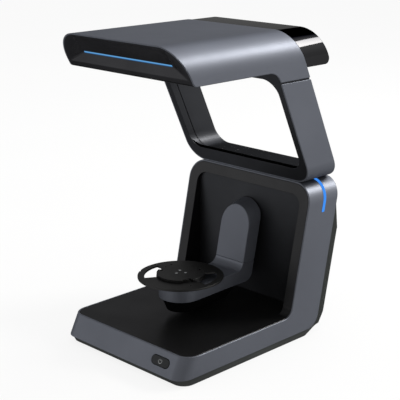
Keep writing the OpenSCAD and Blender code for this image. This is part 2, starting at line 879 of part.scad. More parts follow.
module head_light_bar() {
    color(glow) bar_prism(recess_depth - bar_proud, bar_seat + bar_proud);
}

window_pane_r = 14;
optic_y = table_y;
optic_xs = [-camera_x, 0, camera_x];
pane_t = 1.5;

module head_bottom_cover() {
    y0 = head_front_y(head_z) + lip;
    y1 = hoop_rear_y(head_z + wall);
    color(black) difference() {
        intersection() {
            front_solid(hoop_outline(wall), front_y, -front_y);
            translate([-half_w, y0, head_z]) cube([body_w, y1 - y0, wall]);
        }
        for (x = optic_xs) {
            translate([x, optic_y, head_z - skim]) cylinder(r = window_pane_r - 2, h = far);
            translate([x, optic_y, head_z + wall - pane_t]) cylinder(r = window_pane_r, h = far);
        }
        for (p = head_screw_places)
            translate([p[0], p[1], 0]) cylinder(r = screw_r, h = far);
    }
}

module optics_windows() {
    color([0.3, 0.35, 0.4]) for (x = optic_xs)
        translate([x, optic_y, head_z + wall - pane_t]) cylinder(r = window_pane_r, h = pane_t);
}

module_bottom_r = 8;
module head_rear_module() {
    z0 = head_z;
    color(black) difference() {
        intersection() {
            front_solid(hoop_outline(module_inset), front_y, -front_y);
            side_solid(outline([[hoop_rear_y(total_h), total_h],
                [module_rear_y(total_h), total_h, wall], [module_rear_y(z0), z0, module_bottom_r],
                [hoop_rear_y(z0), z0]]), body_w);
        }
        intersection() {
            front_solid(hoop_outline(module_inset + wall), front_y, -front_y);
            side_solid([[front_y, total_h], [module_rear_y(total_h) - 2 * wall, total_h],
                [module_rear_y(z0) - 2 * wall, z0 + wall], [front_y, z0 + wall]], body_w);
        }
    }
}

boss_r = 5;
boss_h = 6;
frame_plate_z = head_z + wall + boss_h;
frame_plate_t = 2.5;
frame_half_w = half_w - 22;
frame_y0 = front_y + 62;
frame_y1 = hoop_rear_y(total_h) - 5;
head_screw_places = [for (x = [-1, 1], y = [frame_y0 + 10, hoop_y(head_z) - 10])
    [x * (frame_half_w - 10), y]];
camera_tilt = 13;
camera_w = 30;
camera_h = 18;
camera_lift = 2;      // the tilted block's height above the plate
camera_foot_t = 5;
camera_foot_lap = 6;  // how far its foot stands out at each side
camera_hole_r = 17;

module head_frame() {
    color(steel) difference() {
        union() {
            translate([-frame_half_w, frame_y0, frame_plate_z])
                cube([2 * frame_half_w, frame_y1 - frame_y0, frame_plate_t]);
            for (p = head_screw_places)
                translate([p[0], p[1], head_z + wall]) cylinder(r = boss_r, h = boss_h + skim);
        }
        for (x = optic_xs)
            translate([x, optic_y, 0]) cylinder(r = camera_hole_r, h = far);
        for (p = head_screw_places)
            translate([p[0], p[1], 0]) cylinder(r = screw_r, h = far);
    }
}

// A camera looks down and inwards through its window; its block stands on the frame plate
lens_r = 8;
lens_len = 12;
lens_seat = 6;        // how deep a lens sits in its block
projector_lens_r = 10;
projector_size = [50, 60, 26];
projector_front = 22; // from the lens to the block's front face
module camera_place(x) {
    translate([x, optic_y, frame_plate_z + frame_plate_t + camera_lift])
        rotate([0, x > 0 ? camera_tilt : x < 0 ? -camera_tilt : 0, 0]) children();
}

module camera_body(x) {
    z0 = frame_plate_z + frame_plate_t;
    color(black) difference() {
        union() {
            camera_place(x) translate([-camera_w / 2, -camera_w / 2, camera_lift])
                cube([camera_w, camera_w, camera_h]);
            translate([x - camera_w / 2 - camera_foot_lap, optic_y - camera_w / 2, z0])
                cube([camera_w + 2 * camera_foot_lap, camera_w, camera_foot_t]);
        }
        translate([x, optic_y, 0]) cylinder(r = lens_r + 3, h = z0 + camera_foot_t);
        translate([x - camera_w, optic_y - camera_w, 0]) cube([2 * camera_w, 2 * camera_w, z0]);
        camera_place(x) translate([0, 0, -lens_len]) cylinder(r = lens_r, h = lens_len + lens_seat);
    }
}

module camera_left() camera_body(-camera_x);
module camera_right() camera_body(camera_x);

module camera_lenses() {
    color([0.15, 0.15, 0.2]) for (x = [-camera_x, camera_x])
        camera_place(x) translate([0, 0, lens_seat - lens_len]) cylinder(r = lens_r, h = lens_len);
}

module projector() {
    z0 = frame_plate_z + frame_plate_t;
    color(black) difference() {
        translate([-projector_size[0] / 2, optic_y - projector_front, z0]) cube(projector_size);
        translate([0, optic_y, 0]) cylinder(r = projector_lens_r, h = z0 + lens_seat);
    }
}

module projector_lens() {
    z0 = frame_plate_z + frame_plate_t;
    color([0.15, 0.15, 0.2]) translate([0, optic_y, z0 + lens_seat - lens_len])
        cylinder(r = projector_lens_r, h = lens_len);
}

head_board_w = 180;
head_board_d = 44;
head_board_lift = 4;
head_chip = [14, 14, 3];
chip_pitch = 30;

module head_board() {
    z0 = frame_plate_z + frame_plate_t;
    y0 = frame_y1 - head_board_d - head_board_lift;
    color(board_green) {
        translate([-head_board_w / 2, y0, z0 + head_board_lift])
            cube([head_board_w, head_board_d, board_t]);
        for (x = [-1, 1], y = [board_hole, head_board_d - board_hole])
            translate([x * (head_board_w / 2 - board_hole), y0 + y, z0])
                cylinder(r = standoff_r - 0.5, h = head_board_lift + skim);
        for (i = [-2:2])
            translate([chip_pitch * i - head_chip[0] / 2, y0 + head_chip[1],
                z0 + head_board_lift + board_t - skim]) cube(head_chip);
    }
}

screw_head_r = screw_r + 1.4;
screw_head_h = 1;

module cover_screws() {
    color(steel) {
        for (p = screw_places)
            translate([p[0], p[1], foot_gap - screw_head_h]) {
                cylinder(r = screw_head_r, h = screw_head_h);
                cylinder(r = screw_r - run_gap, h = wall + plate_t + screw_head_h);
            }
        for (p = head_screw_places)
            translate([p[0], p[1], head_z - screw_head_h]) {
                cylinder(r = screw_head_r, h = screw_head_h);
                cylinder(r = screw_r - run_gap, h = wall + boss_h + frame_plate_t + screw_head_h);
            }
    }
}

// ---------------------------------------------------------------- swing arm

arm_bottom_z = arm_top_z - arm_h;
arm_half = arm_w / 2;
arm_fillet_r = 15;
arm_outer_r = 16;
arm_crown_z = swing_z + arm_half;

// Side view of the whole arm, from its round end to the top of the upright
function arm_profile(c) = let (tip = table_y - arm_end_r) outline([[tip - c, arm_bottom_z + c],
    [arm_rear_y(arm_bottom_z) - c, arm_bottom_z + c, arm_outer_r - c],
    [arm_back_y - c, arm_bottom_z + (arm_back_y - arm_rear_y(arm_bottom_z)) / tan(lean)],
    [arm_back_y - c, arm_crown_z + arm_w], [arm_front_y(arm_crown_z + arm_w) + c, arm_crown_z + arm_w],
    [arm_front_y(arm_top_z) + c, arm_top_z - c, arm_fillet_r + c], [tip - c, arm_top_z - c]]);

// Front view of the upright: straight sides and a round head that rises towards its back
module arch_solid(inset) {
    r = arm_half - inset;
    arch = concat([[-r, -far], [r, -far]],
        [for (a = [0:arc_step / 2:180]) [r * cos(a), r * sin(a)]]);
    translate([0, arm_front_y(swing_z), swing_z]) rotate([arm_rise, 0, 0])
        front_solid(arch, -far, far);
}

// Plan of the arm: round end, and straight sides back to the upright
module arm_plan(inset, z0, z1) {
    r = arm_end_r - inset;
    half = arm_half - inset;
    translate([0, 0, z0]) linear_extrude(z1 - z0) {
        translate([0, table_y]) circle(r = r, $fn = 96);
        polygon([[-r, table_y], [r, table_y], [half, rim_y(deck_z)], [half, -front_y],
            [-half, -front_y], [-half, rim_y(deck_z)]]);
    }
}

module arm_upright() {
    color(grey) difference() {
        intersection() {
            side_solid(arm_profile(0), arm_w);
            arch_solid(0);
            translate([-half_w, front_y, arm_seam_z]) cube([body_w, body_d, far]);
        }
        intersection() {
            side_solid(arm_profile(wall), arm_w);
            arch_solid(wall);
            translate([-half_w, front_y, arm_seam_z - skim])
                cube([body_w, body_d, swing_z - hub_r - arm_seam_z - 4]);
        }
        y_cylinder(0, swing_z, shaft_r, shaft_front_y, arm_back_y + skim);
    }
}

bush_seat_r = spindle_r + 5;
bush_boss_t = 3;
table_motor_top = arm_top_z - 12;

module arm_base() {
    color(grey) difference() {
        union() {
            difference() {
                intersection() {
                    side_solid(arm_profile(0), 2 * arm_end_r);
                    arm_plan(0, arm_bottom_z, arm_seam_z);
                }
                intersection() {
                    side_solid([[front_y, arm_bottom_z - skim],
                        [arm_rear_y(arm_bottom_z) - arm_outer_r, arm_bottom_z - skim],
                        [arm_rear_y(arm_bottom_z) - arm_outer_r, arm_top_z - wall],
                        [front_y, arm_top_z - wall]], 2 * arm_end_r);
                    arm_plan(wall, arm_bottom_z - skim, arm_top_z - wall);
                }
            }
            translate([0, table_y, table_motor_top])
                cylinder(r = bush_seat_r + bush_boss_t, h = arm_top_z - wall - table_motor_top + skim);
        }
        translate([0, table_y, 0]) cylinder(r = bush_seat_r, h = far);
    }
}

housing_top_r = arm_end_r - 4;
housing_low_r = arm_end_r - 12;
housing_rear_y = rim_y(deck_z) - 20;
housing_rake = 14;    // how far its rear end slopes in

module housing_slab(z, r, back) {
    translate([0, 0, z]) linear_extrude(skim) {
        translate([0, table_y]) circle(r = r, $fn = 36);
        translate([-r, table_y]) square([2 * r, back - table_y]);
    }
}

module arm_housing() {
    z1 = arm_bottom_z;
    z0 = z1 - housing_h;
    color(black) difference() {
        hull() {
            housing_slab(z0, housing_low_r, housing_rear_y - housing_rake);
            housing_slab(z1 - skim, housing_top_r, housing_rear_y);
        }
        hull() {
            housing_slab(z0 + wall, housing_low_r - wall, housing_rear_y - housing_rake - wall);
            housing_slab(z1 + skim, housing_top_r - wall, housing_rear_y - wall);
        }
    }
}

motor_flange = 1.5;   // thickness of the motor's flange
motor_flange_lap = 3;
spindle_seat = 9;     // how deep the spindle runs into the motor

module table_motor() {
    z0 = arm_bottom_z - housing_h + wall;
    color(steel) translate([0, table_y, 0]) difference() {
        union() {
            translate([0, 0, z0]) cylinder(r = table_motor_r, h = table_motor_top - z0);
            translate([0, 0, table_motor_top - motor_flange])
                cylinder(r = table_motor_r + motor_flange_lap, h = motor_flange);
        }
        translate([0, 0, table_motor_top - spindle_seat - 1])
            cylinder(r = spindle_r + run_gap, h = far);
    }
}

table_bush_flange = 1.5;
module table_bush() {
    color(brass) translate([0, table_y, 0]) difference() {
        union() {
            translate([0, 0, table_motor_top]) cylinder(r = bush_seat_r, h = arm_top_z - table_motor_top);
            translate([0, 0, arm_top_z]) cylinder(r = bush_seat_r + bush_boss_t, h = table_bush_flange);
        }
        cylinder(r = spindle_r + run_gap, h = far);
    }
}

// ---------------------------------------------------------------- turntable

table_z = table_top_z - table_t;
hub_top_r = 26;
hub_gap = 1;          // free space over the bush's flange
slot_angles = [-152, 28];
catch_r = 2.5;        // a finger catch in the rim, beside the first slot
fixing_angles = [-27, 153];
fixing_ring_r = 50;
fixing_r = 1.6;

// A slot along an arc between two radii, to half degrees on both sides of angle a
module arc_slot(r0, r1, a, half, h) {
    reach = 2 * r1;
    rotate(a) intersection() {
        difference() {
            cylinder(r = r1, h = h, $fn = 128);
            translate([0, 0, -skim]) cylinder(r = r0, h = h + 2 * skim, $fn = 128);
        }
        linear_extrude(h) polygon([[0, 0], [reach * cos(half), -reach * sin(half)], [reach, 0],
            [reach * cos(half), reach * sin(half)]]);
    }
}

module turntable_plate() {
    color(black) translate([0, table_y, 0]) difference() {
        union() {
            translate([0, 0, table_z]) cylinder(r = table_r, h = table_t, $fn = 128);
            translate([0, 0, arm_top_z + table_bush_flange + hub_gap])
                cylinder(r = hub_top_r, h = table_z - arm_top_z - table_bush_flange - hub_gap + skim);
        }
        translate([0, 0, table_z - skim]) {
            for (a = slot_angles)
                arc_slot(slot_r0, slot_r1, a, slot_half_angle, table_t + 2 * skim);
            for (a = fixing_angles)
                rotate(a) translate([fixing_ring_r, 0, 0]) cylinder(r = fixing_r, h = far);
            rotate(slot_angles[0]) translate([table_r, 0, 0]) cylinder(r = catch_r, h = far);
        }
        cylinder(r = spindle_r, h = table_top_z - spindle_skin);
    }
}

spindle_skin = 1;     // what the spindle's end leaves of the plate's top
notch_angles = [-170, -26, 92];   // gaps in the disc's rim that a model holder locks into
notch_r = 33.5;
notch_half_angle = 13;
holder_angles = [-154, -19, 69];  // holes that its pegs drop into
holder_ring_r = 31.5;
holder_r = 2.4;
holder_d = 3;
pin_angles = [24, 144, 264];
pin_ring_r = 8;
pin_r = 2.3;
pin_h = 2.5;
pin_proud = 0.5;

module centre_disc() {
    color(black) translate([0, table_y, table_top_z]) difference() {
        cylinder(r = disc_r, h = disc_h, $fn = 128);
        for (a = notch_angles)
            translate([0, 0, -skim]) arc_slot(notch_r, disc_r + wall, a, notch_half_angle, far);
        for (a = holder_angles)
            rotate(a) translate([holder_ring_r, 0, disc_h - holder_d]) cylinder(r = holder_r, h = far);
        for (a = pin_angles)
            rotate(a) translate([pin_ring_r, 0, disc_h + pin_proud - pin_h])
                cylinder(r = pin_r, h = far);
    }
}

module contact_pins() {
    color(steel) translate([0, table_y, table_top_z + disc_h + pin_proud - pin_h])
        for (a = pin_angles)
            rotate(a) translate([pin_ring_r, 0, 0]) cylinder(r = pin_r, h = pin_h);
}

module turntable_spindle() {
    z0 = table_motor_top - spindle_seat;
    color(steel) translate([0, table_y, z0])
        cylinder(r = spindle_r, h = table_top_z - spindle_skin - z0);
}

// ---------------------------------------------------------------- power button

button_x = half_w - button_inset;
button_rise = 19;     // distance up the slanted face

// The button's own frame: +Y runs into the base, +Z up the slanted face
module button_place() {
    translate([button_x, front_y, band_z]) rotate([-front_slant, 0, 0])
        translate([0, 0, button_rise]) children();
}

module button_prism(g, y0, depth) {
    r = button_h / 2 + g;
    x = button_w / 2 - button_h / 2;
    translate([0, y0, 0]) rotate([-90, 0, 0]) linear_extrude(depth) {
        for (side = [-1, 1])
            translate([side * x, 0]) circle(r = r);
        square([2 * x, 2 * r], center = true);
    }
}

button_proud = 0.4;
button_t = 4.4;
plunger_w = 6;
plunger_h = 0.6;

module power_button() {
    color(dark) button_place() {
        button_prism(0, -button_proud, button_t);
        translate([-plunger_w / 2, button_t - button_proud - skim, -plunger_w / 2])
            cube([plunger_w, plunger_h, plunger_w]);
    }
}

side_band();
deck_cover();
pocket_panel();
bottom_cover();
back_cover();
port_panel();
rubber_feet();
base_plate();
board_standoffs();
main_board();
dc_inlet();
usb_port();
column_frame();
column_light_left();
column_light_right();
button_switch();
swing_bracket();
swing_bushes();
swing_motor();
hoop_band();
hoop_bezel();
hoop_core();
hoop_liner();
head_shell();
head_front_panel();
head_light_bar();
head_bottom_cover();
head_rear_module();
head_frame();
camera_left();
camera_right();
camera_lenses();
projector();
projector_lens();
optics_windows();
head_board();
cover_screws();
arm_upright();
arm_base();
arm_housing();
table_motor();
table_bush();
swing_shaft();
swing_gear();
turntable_plate();
centre_disc();
contact_pins();
turntable_spindle();
drive_pinion();
power_button();
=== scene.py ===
import json
import math

import bmesh
import bpy
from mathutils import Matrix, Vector


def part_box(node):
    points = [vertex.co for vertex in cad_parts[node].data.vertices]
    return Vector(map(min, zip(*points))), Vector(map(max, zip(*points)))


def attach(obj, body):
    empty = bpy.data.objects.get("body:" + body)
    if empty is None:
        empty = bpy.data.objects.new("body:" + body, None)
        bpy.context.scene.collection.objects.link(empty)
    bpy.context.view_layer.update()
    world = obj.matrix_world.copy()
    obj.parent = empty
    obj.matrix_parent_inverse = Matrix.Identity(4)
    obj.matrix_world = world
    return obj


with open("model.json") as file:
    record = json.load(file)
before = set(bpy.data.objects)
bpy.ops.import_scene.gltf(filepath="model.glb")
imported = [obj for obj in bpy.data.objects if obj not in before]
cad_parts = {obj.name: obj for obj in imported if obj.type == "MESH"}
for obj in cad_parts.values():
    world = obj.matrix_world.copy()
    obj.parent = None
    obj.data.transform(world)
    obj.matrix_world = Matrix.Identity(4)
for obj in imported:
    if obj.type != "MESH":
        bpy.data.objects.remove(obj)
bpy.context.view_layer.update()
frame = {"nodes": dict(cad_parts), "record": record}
nodes = frame["nodes"]
MM = 0.001


# ---------------------------------------------------------------- camera

CAMERA_AT = Vector((1.1354, -1.1456, 0.6863))
LOOKS_AT = Vector((0.0, -0.0086, 0.2196))
LENS = 98.13           # millimetres
FILM = 36              # its width in millimetres
CLIP_END = 30          # metres, past the floor's far edge


def make_camera():
    data = bpy.data.cameras.new("camera")
    data.lens = LENS
    data.sensor_width = FILM
    data.clip_end = CLIP_END
    camera = bpy.data.objects.new("camera", data)
    camera.location = CAMERA_AT
    camera.rotation_euler = (LOOKS_AT - CAMERA_AT).to_track_quat("-Z", "Y").to_euler()
    bpy.context.scene.collection.objects.link(camera)
    bpy.context.scene.camera = camera


make_camera()


# ---------------------------------------------------------------- shader nodes

NOISE_LOW = 0.3        # the noise values at which a blend of two colours starts
NOISE_HIGH = 0.7       # and ends
EVEN = (1, 1, 1)       # a noise that isn't stretched


class Shader:
    """One node material, with short calls for the nodes that the finishes share."""

    def __init__(self, name):
        self.material = bpy.data.materials.new(name)
        self.material.use_nodes = True
        self.tree = self.material.node_tree
        self.surface = self.tree.nodes["Principled BSDF"]
        self.place = self.add("ShaderNodeTexCoord").outputs["Object"]

    def add(self, kind, **values):
        """A node whose properties or sockets get these values, with _ for a space."""
        node = self.tree.nodes.new(kind)
        for key, value in values.items():
            if hasattr(node, key):
                setattr(node, key, value)
            else:
                node.inputs[key.replace("_", " ")].default_value = value
        return node

    def join(self, output, node, socket):
        self.tree.links.new(output, node.inputs[socket])

    def set(self, **values):
        """Gives the surface's own sockets these values."""
        for key, value in values.items():
            self.surface.inputs[key.replace("_", " ")].default_value = value
        return self

    def noise(self, scale, detail, stretch=EVEN):
        mapping = self.add("ShaderNodeMapping")
        mapping.inputs["Scale"].default_value = stretch
        self.join(self.place, mapping, "Vector")
        noise = self.add("ShaderNodeTexNoise", Scale=scale, Detail=detail)
        self.join(mapping.outputs["Vector"], noise, "Vector")
        return noise.outputs["Fac"]

    def ramp(self, value, low, high):
        ramp = self.add("ShaderNodeValToRGB")
        first, last = ramp.color_ramp.elements
        first.position, last.position = NOISE_LOW, NOISE_HIGH
        first.color, last.color = low, high
        self.join(value, ramp, "Fac")
        return ramp.outputs["Color"]

    def colour(self, value, low, high):
        self.join(self.ramp(value, low, high), self.surface, "Base Color")

    def rough(self, value, span):
        rough = self.add("ShaderNodeMapRange")
        rough.inputs["To Min"].default_value, rough.inputs["To Max"].default_value = span
        self.join(value, rough, "Value")
        self.join(rough.outputs["Result"], self.surface, "Roughness")

    def bump(self, value, distance, strength):
        bump = self.add("ShaderNodeBump", Distance=distance, Strength=strength)
        self.join(value, bump, "Height")
        self.join(bump.outputs["Normal"], self.surface, "Normal")


def srgb(red, green, blue):
    """A linear colour from 8-bit screen values."""
    def linear(value):
        value /= 255
        return value / 12.92 if value <= 0.04045 else ((value + 0.055) / 1.055) ** 2.4
    return linear(red), linear(green), linear(blue), 1.0


def shades(colour, darker, lighter):
    """Two shades of a colour, each by its factor."""
    return [tuple(channel * factor for channel in colour[:3]) + (1.0,)
            for factor in (darker, lighter)]


# ---------------------------------------------------------------- finishes

# Colours, as screen values
SLATE_GREY = srgb(104, 107, 115)
CHARCOAL = srgb(62, 63, 66)
COVER_GREY = srgb(76, 78, 77)
BASE_GREY = srgb(78, 80, 79)
SOFT_BLACK = srgb(30, 30, 31)
FRONT_BLACK = srgb(62, 62, 64)
PIANO_BLACK = srgb(50, 50, 51)
RUBBER_BLACK = srgb(30, 30, 30)
TABLE_BLACK = srgb(58, 58, 58)
DECK_BLACK = srgb(56, 56, 57)
BUTTON_BLACK = srgb(54, 55, 56)
# painted shade: near black for the shadow in the slot behind the hoop's lower lip
SLOT_SHADE_BLACK = srgb(5, 5, 5)
STEEL = srgb(190, 192, 196)
PAD_GREY = srgb(128, 130, 132)
BRASS = srgb(205, 170, 96)
SYMBOL_GREY = srgb(176, 178, 178)
STRIP_BLUE = srgb(60, 140, 244)
STRIP_PALE = srgb(74, 156, 250)
BAR_BLUE = srgb(22, 70, 124)
BAR_PALE = srgb(104, 170, 226)
MASK_GREEN = srgb(24, 84, 48)
MASK_DARK = srgb(20, 72, 42)
TRACK_GREEN = srgb(44, 120, 70)
GLASS_BLUE = srgb(14, 16, 26)
GLASS_VIOLET = srgb(26, 22, 44)
BLACK = (0.0, 0.0, 0.0, 1)
WHITE = (1, 1, 1, 1)

# Scale and detail of the noises
LACQUER_CLOUD = (9, 4)
LACQUER_HAZE = (40, 5)
LACQUER_PEEL = (1400, 2)
MOULDED_CLOUD = (14, 4)
MOULDED_HAZE = (60, 4)
MACHINED_LINES = (60, 6)
GLOW_CLOUD = (30, 2)
GLASS_TINT = (20, 2)

# Depth in metres and strength of the reliefs
PEEL_RELIEF = (0.00002, 0.5)
LINE_RELIEF = (0.00003, 0.5)
GRAIN_STRENGTH = 0.6

# Scale, detail and depth of a moulded grain
FINE_GRAIN = (900, 3, 0.00004)
COARSE_GRAIN = (600, 3, 0.0001)

# The least and the most that a noise shades a colour by
LACQUER_SHADES = (0.95, 1.05)
MOULDED_SHADES = (0.9, 1.1)
MACHINED_SHADES = (0.8, 1.1)

# Tint of the gloss at a grazing angle, where 1 is a full mirror
UPRIGHT_EDGE = 0.14    # kept low, as upright faces would mirror the white studio
LEVEL_EDGE = 0.43      # level faces, seen less flatly, keep more of their sheen

ALONG_SHAFTS = (1, 1, 40)          # how tool lines are stretched
BOARD_TRACKS = 90.0                # scale of the board's pattern of tracks


def tinted(name, metallic, edge_tint):
    """A shader whose whole gloss has its colour and is held down at a grazing angle."""
    return Shader(name).set(Metallic=metallic, Specular_IOR_Level=0.0,
                            Specular_Tint=(edge_tint, edge_tint, edge_tint, 1))


def lacquer(name, colour, rough, metallic, edge_tint):
    """Sprayed satin lacquer: fine metal flake, slight cloudiness and orange peel."""
    shader = tinted(name, metallic, edge_tint)
    shader.colour(shader.noise(*LACQUER_CLOUD), *shades(colour, *LACQUER_SHADES))
    shader.rough(shader.noise(*LACQUER_HAZE), rough)
    shader.bump(shader.noise(*LACQUER_PEEL), *PEEL_RELIEF)
    return shader.material


def moulded(name, colour, rough, grain=FINE_GRAIN, sheen=0.9, edge_tint=UPRIGHT_EDGE):
    """Dark moulded plastic with a spark-eroded grain, mostly seen by its even satin sheen."""
    shader = tinted(name, sheen, edge_tint)
    shader.colour(shader.noise(*MOULDED_CLOUD), *shades(colour, *MOULDED_SHADES))
    shader.rough(shader.noise(*MOULDED_HAZE), rough)
    scale, detail, depth = grain
    shader.bump(shader.noise(scale, detail), depth, GRAIN_STRENGTH)
    return shader.material


def machined(name, colour, rough):
    """Bare metal with fine tool lines."""
    shader = Shader(name).set(Metallic=1.0)
    lines = shader.noise(*MACHINED_LINES, ALONG_SHAFTS)
    shader.colour(lines, *shades(colour, *MACHINED_SHADES))
    shader.rough(lines, rough)
    shader.bump(lines, *LINE_RELIEF)
    return shader.material


def lit(name):
    """A shader that shows only the colour that it gives off."""
    shader = Shader(name).set(Roughness=0.9, Specular_IOR_Level=0.0, Emission_Strength=1.0)
    shader.surface.inputs["Base Color"].default_value = BLACK
    return shader


def glowing(name, edge, middle):
    """A lit light guide: even, with a slight cloudiness along it."""
    shader = lit(name)
    glow = shader.ramp(shader.noise(*GLOW_CLOUD), edge, middle)
    shader.join(glow, shader.surface, "Emission Color")
    return shader.material


def light_guide(name, edge, middle, low, high):
    """A lit bar that is palest along its middle line, between two heights."""
    shader = lit(name)
    split = shader.add("ShaderNodeSeparateXYZ")
    shader.join(shader.place, split, "Vector")
    across = shader.add("ShaderNodeMapRange")
    across.inputs["From Min"].default_value = low
    across.inputs["From Max"].default_value = high
    shader.join(split.outputs["Z"], across, "Value")
    ramp = shader.add("ShaderNodeValToRGB")
    ramp.color_ramp.elements[0].color = edge
    ramp.color_ramp.elements[1].color = edge
    ramp.color_ramp.elements.new(0.5).color = middle
    shader.join(across.outputs["Result"], ramp, "Fac")
    shader.join(ramp.outputs["Color"], shader.surface, "Emission Color")
    return shader.material


def circuit():
    """Green solder mask with paler tracks under it."""
    shader = Shader("circuit_board").set(Roughness=0.35)
    tracks = shader.add("ShaderNodeTexBrick", Scale=BOARD_TRACKS, Mortar_Size=0.03)
    shader.join(shader.place, tracks, "Vector")
    tracks.inputs["Color1"].default_value = MASK_GREEN
    tracks.inputs["Color2"].default_value = MASK_DARK
    tracks.inputs["Mortar"].default_value = TRACK_GREEN
    shader.join(tracks.outputs["Color"], shader.surface, "Base Color")
    return shader.material


def glass():
    """Coated optical glass, dark with a violet cast."""
    shader = Shader("optical_glass").set(Roughness=0.05, Coat_Weight=0.25, Specular_IOR_Level=0.3)
    shader.colour(shader.noise(*GLASS_TINT), GLASS_BLUE, GLASS_VIOLET)
    return shader.material


# ---------------------------------------------------------------- materials

# Lowest and highest roughness
MIRROR = (0.04, 0.06)
SILKY = (0.3, 0.36)
LOW_SATIN = (0.36, 0.42)
HALF_SATIN = (0.4, 0.46)
SATIN = (0.42, 0.48)
GRAINED = (0.45, 0.52)

MATERIALS = {
    "grey_shell": lacquer("grey_shell", SLATE_GREY, SATIN, metallic=0.7, edge_tint=0.3),
    "dark_shell": moulded("dark_shell", CHARCOAL, SATIN),
    "cover_dark": moulded("cover_dark", COVER_GREY, GRAINED, sheen=0.8),
    "black_plastic": moulded("black_plastic", SOFT_BLACK, (0.42, 0.5)),
    "head_front": moulded("head_front", FRONT_BLACK, LOW_SATIN),
    "gloss_black": lacquer("gloss_black", PIANO_BLACK, MIRROR, metallic=1.0, edge_tint=0.08),
    "rubber": moulded("rubber", RUBBER_BLACK, (0.75, 0.9), COARSE_GRAIN, sheen=0.3),
    "steel": machined("steel", STEEL, (0.28, 0.45)),
    "brass": machined("brass", BRASS, (0.25, 0.4)),
    "circuit_board": circuit(),
    "light_strip": glowing("light_strip", STRIP_BLUE, STRIP_PALE),
    "optical_glass": glass(),
    "table_black": moulded("table_black", TABLE_BLACK, LOW_SATIN, edge_tint=LEVEL_EDGE),
}
bar_low, bar_high = (corner[2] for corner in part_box("head_light_bar"))
OWN_FINISH = {         # nodes that differ a little from the rest of their slot
    "head_light_bar": light_guide("head_light", BAR_BLUE, BAR_PALE, bar_low, bar_high),
    "deck_cover": moulded("deck", DECK_BLACK, SILKY, edge_tint=LEVEL_EDGE),
    "power_button": moulded("button", BUTTON_BLACK, HALF_SATIN),
    "bottom_cover": moulded("base_cover", BASE_GREY, GRAINED, edge_tint=0.4),
    "hoop_core": MATERIALS["dark_shell"],
    "contact_pins": machined("pads", PAD_GREY, (0.35, 0.5)),
}
# painted shade: a black strip stands in for the shadow in the slot behind the hoop's lower lip
SLOT_SHADE_FINISH = moulded("slot_painted_shade", SLOT_SHADE_BLACK, (0.7, 0.8))
SYMBOL_FINISH = moulded("symbol", SYMBOL_GREY, (0.4, 0.5))


# ---------------------------------------------------------------- CAD nodes

EDGE = {               # width of the rounded edges that each node shows, in millimetres
    "side_band": 0.7, "deck_cover": 0.5, "pocket_panel": 0.3, "bottom_cover": 0.3,
    "back_cover": 0.8, "port_panel": 0.4, "hoop_band": 0.7, "hoop_bezel": 0.5,
    "hoop_core": 0.3, "hoop_liner": 0.5, "head_shell": 1.1, "head_front_panel": 0.4,
    "head_bottom_cover": 0.4, "head_rear_module": 0.8, "arm_upright": 0.8, "arm_base": 0.8,
    "arm_housing": 0.8, "turntable_plate": 0.4, "centre_disc": 0.4, "power_button": 0.5,
    "column_light_left": 0.1, "column_light_right": 0.1, "head_light_bar": 0.15,
    "rubber_feet": 0.4, "cover_screws": 0.1, "optics_windows": 0.15, "contact_pins": 0.15,
}
EDGE_SEGMENTS = 2
SHARP = math.radians(24)       # an edge that turns more than this gets a rounding
SEAM = 0.002                   # millimetres within which two points are one
LEVEL = math.radians(0.4)      # faces that turn less than this are one flat face
FACE_WEIGHT = 80               # how much the large faces decide the shading
PIERCED = {                    # flat faces round these nodes' openings stay in triangles
    "back_cover", "bottom_cover", "head_rear_module", "side_band",
}


def round_edges(node, width):
    edge = node.modifiers.new("edge", "BEVEL")
    edge.width = width * MM
    edge.segments = EDGE_SEGMENTS
    edge.limit_method = "ANGLE"
    edge.angle_limit = SHARP
    edge.harden_normals = True
    edge.use_clamp_overlap = False


def finish_node(name):
    """Welds the shading seams, joins flat faces and rounds the sharp edges by a hair."""
    node = nodes[name]
    for polygon in node.data.polygons:
        polygon.use_smooth = True
    attribute = node.data.attributes.get("custom_normal")
    if attribute:
        node.data.attributes.remove(attribute)
    weld = node.modifiers.new("weld", "WELD")
    weld.merge_threshold = SEAM * MM
    if name not in PIERCED:
        flat = node.modifiers.new("flat", "DECIMATE")
        flat.decimate_type = "DISSOLVE"
        flat.angle_limit = LEVEL
    if name in EDGE:
        round_edges(node, EDGE[name])
    normals = node.modifiers.new("normals", "WEIGHTED_NORMAL")
    normals.keep_sharp = True
    normals.weight = FACE_WEIGHT


for row in frame["record"]["subparts"]:
    target = nodes[row["node"]]
    target.data.materials.clear()
    target.data.materials.append(OWN_FINISH.get(row["node"], MATERIALS[row["material_slot"]]))
    finish_node(row["node"])


LIGHT_SPREAD = 0.9     # millimetres that the lit strips bloom past their guides

for side in ("left", "right"):
    bloom = nodes["column_light_" + side].modifiers.new("bloom", "DISPLACE")
    bloom.strength = LIGHT_SPREAD * MM
    bloom.mid_level = 0.0


# ---------------------------------------------------------------- pieces made here

def lofted(name, sections, material, body):
    """A closed solid through sections with the same number of points, in millimetres."""
    mesh = bpy.data.meshes.new(name)
    solid = bmesh.new()
    rings = [[solid.verts.new(Vector(point) * MM) for point in section] for section in sections]
    for ring, following in zip(rings, rings[1:]):
        for i, vertex in enumerate(ring):
            j = (i + 1) % len(ring)
            solid.faces.new((vertex, ring[j], following[j], following[i]))
    solid.faces.new(reversed(rings[0]))
    solid.faces.new(rings[-1])
    bmesh.ops.recalc_face_normals(solid, faces=solid.faces)
    solid.to_mesh(mesh)
    solid.free()
    mesh.materials.append(material)
    piece = bpy.data.objects.new(name, mesh)
    bpy.context.scene.collection.objects.link(piece)
    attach(piece, body)


def arc(centre, radius, start, end, steps):
    """Points of an arc with their outward directions, angles in degrees."""
    for i in range(steps + 1):
        angle = math.radians(start + (end - start) * i / steps)
        way = (math.cos(angle), math.sin(angle))
        yield (centre[0] + radius * way[0], centre[1] + radius * way[1]), way
